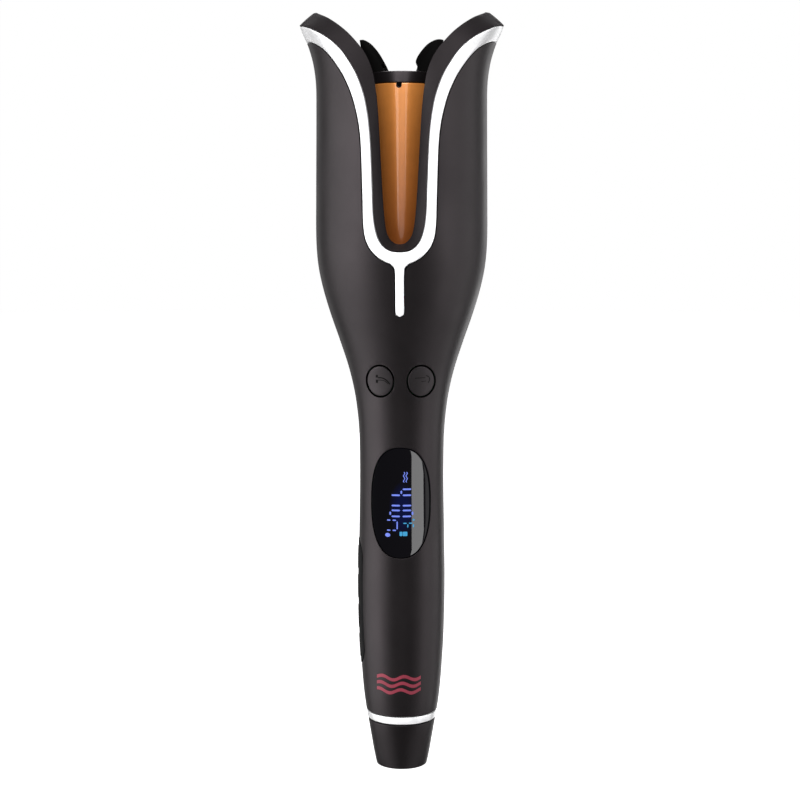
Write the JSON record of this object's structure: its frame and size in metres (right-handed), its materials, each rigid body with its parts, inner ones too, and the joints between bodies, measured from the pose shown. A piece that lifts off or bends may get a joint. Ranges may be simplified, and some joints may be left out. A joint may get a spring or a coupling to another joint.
{
  "type": "automatic hair curler",
  "caption": "Upright handle opening into two petals round a rotating heated barrel, with a display and push buttons.",
  "frame": {"origin": "centre of the flat end of the handle, which is also the bottom centre of the bounding box", "axes": "+Z along the handle and the barrel towards the open end; -Y is the front, with the display and the two direction buttons; -X is the side with the control panel"},
  "size_m": [0.0878, 0.074, 0.33],
  "materials": {
    "soft_touch_black": "fine satin soft-touch",
    "chamber_black": "satin",
    "gloss_black": "glossy",
    "bright_trim": "polished",
    "copper_coating": "satin copper-coloured coating",
    "cap_black": "satin",
    "display_glass": "polished",
    "boot_black": "satin",
    "circuit_board": "solder mask",
    "component_black": "matt",
    "steel": "turned",
    "aluminium": "cast",
    "brass": "turned",
    "natural_polymer": "moulded",
    "ceramic": "unglazed",
    "lead_red": "insulation",
    "lead_black": "insulation",
    "lead_white": "insulation"
  },
  "bodies": {
    "curler_body": {"front_housing": "soft_touch_black", "rear_housing": "soft_touch_black", "chamber_liner": "chamber_black", "side_panel": "gloss_black", "front_trim": "bright_trim", "rear_trim": "bright_trim", "trim_ring": "bright_trim", "display_lens": "display_glass", "end_cap": "boot_black", "control_board": "circuit_board", "power_board": "circuit_board", "button_board": "circuit_board", "side_board": "circuit_board", "display_module": "component_black", "filter_capacitor": "component_black", "switch_curl_left": "component_black", "switch_curl_right": "component_black", "switch_power": "component_black", "switch_heat_up": "component_black", "switch_heat_down": "component_black", "switch_timer": "component_black", "spindle_post": "steel", "motor": "steel", "handle_screw_lower": "steel", "handle_screw_middle": "steel", "handle_screw_upper": "steel", "head_screw_left": "steel", "head_screw_right": "steel", "heater_core": "aluminium", "drive_plate": "aluminium", "gearbox": "aluminium", "contact_spring_live": "brass", "contact_spring_neutral": "brass", "lower_bush": "natural_polymer", "upper_bush": "natural_polymer", "contact_carrier": "natural_polymer", "ptc_heater": "ceramic", "temperature_sensor": "ceramic", "heater_lead_live": "lead_red", "motor_lead_red": "lead_red", "motor_lead_black": "lead_black", "heater_lead_neutral": "lead_white"},
    "rotor": {"barrel": "copper_coating", "barrel_cap": "cap_black", "barrel_gear": "natural_polymer", "barrel_hub": "natural_polymer"},
    "pinion_shaft_assembly": {"pinion": "brass", "pinion_shaft": "steel"},
    "cord_gland": {"swivel_gland": "boot_black", "slip_ring_live": "brass", "slip_ring_neutral": "brass"},
    "curl_left_button_body": {"curl_left_button": "soft_touch_black"},
    "curl_right_button_body": {"curl_right_button": "soft_touch_black"},
    "power_button_body": {"power_button": "soft_touch_black"},
    "heat_up_button_body": {"heat_up_button": "soft_touch_black"},
    "heat_down_button_body": {"heat_down_button": "soft_touch_black"},
    "timer_button_body": {"timer_button": "soft_touch_black"}
  },
  "joints": [
    {"name": "barrel_spin", "type": "hinge", "parent": "curler_body", "child": "rotor", "pos_m": [0, 0, 0.26], "axis": [0, 0, 1], "continuous": true},
    {"name": "pinion_spin", "type": "hinge", "parent": "curler_body", "child": "pinion_shaft_assembly", "pos_m": [0, 0.0144, 0.2165], "axis": [0, 0, 1], "continuous": true},
    {"name": "gland_swivel", "type": "hinge", "parent": "curler_body", "child": "cord_gland", "pos_m": [0, 0, 0.005], "axis": [0, 0, 1], "continuous": true},
    {"name": "curl_left_button_press", "type": "slide", "parent": "curler_body", "child": "curl_left_button_body", "axis": [0, 1, 0], "range_m": [0, 0.0008], "stiffness_N_per_m": 800, "springref_m": -0.0012},
    {"name": "curl_right_button_press", "type": "slide", "parent": "curler_body", "child": "curl_right_button_body", "axis": [0, 1, 0], "range_m": [0, 0.0008], "stiffness_N_per_m": 800, "springref_m": -0.0012},
    {"name": "power_button_press", "type": "slide", "parent": "curler_body", "child": "power_button_body", "axis": [1, 0, 0], "range_m": [0, 0.0006], "stiffness_N_per_m": 900, "springref_m": -0.0012},
    {"name": "heat_up_button_press", "type": "slide", "parent": "curler_body", "child": "heat_up_button_body", "axis": [1, 0, 0], "range_m": [0, 0.0006], "stiffness_N_per_m": 900, "springref_m": -0.0012},
    {"name": "heat_down_button_press", "type": "slide", "parent": "curler_body", "child": "heat_down_button_body", "axis": [1, 0, 0], "range_m": [0, 0.0006], "stiffness_N_per_m": 900, "springref_m": -0.0012},
    {"name": "timer_button_press", "type": "slide", "parent": "curler_body", "child": "timer_button_body", "axis": [1, 0, 0], "range_m": [0, 0.0006], "stiffness_N_per_m": 900, "springref_m": -0.0012}
  ],
  "couplings": [
    {"joint": "pinion_spin", "follows": "barrel_spin", "ratio": -2.6}
  ]
}
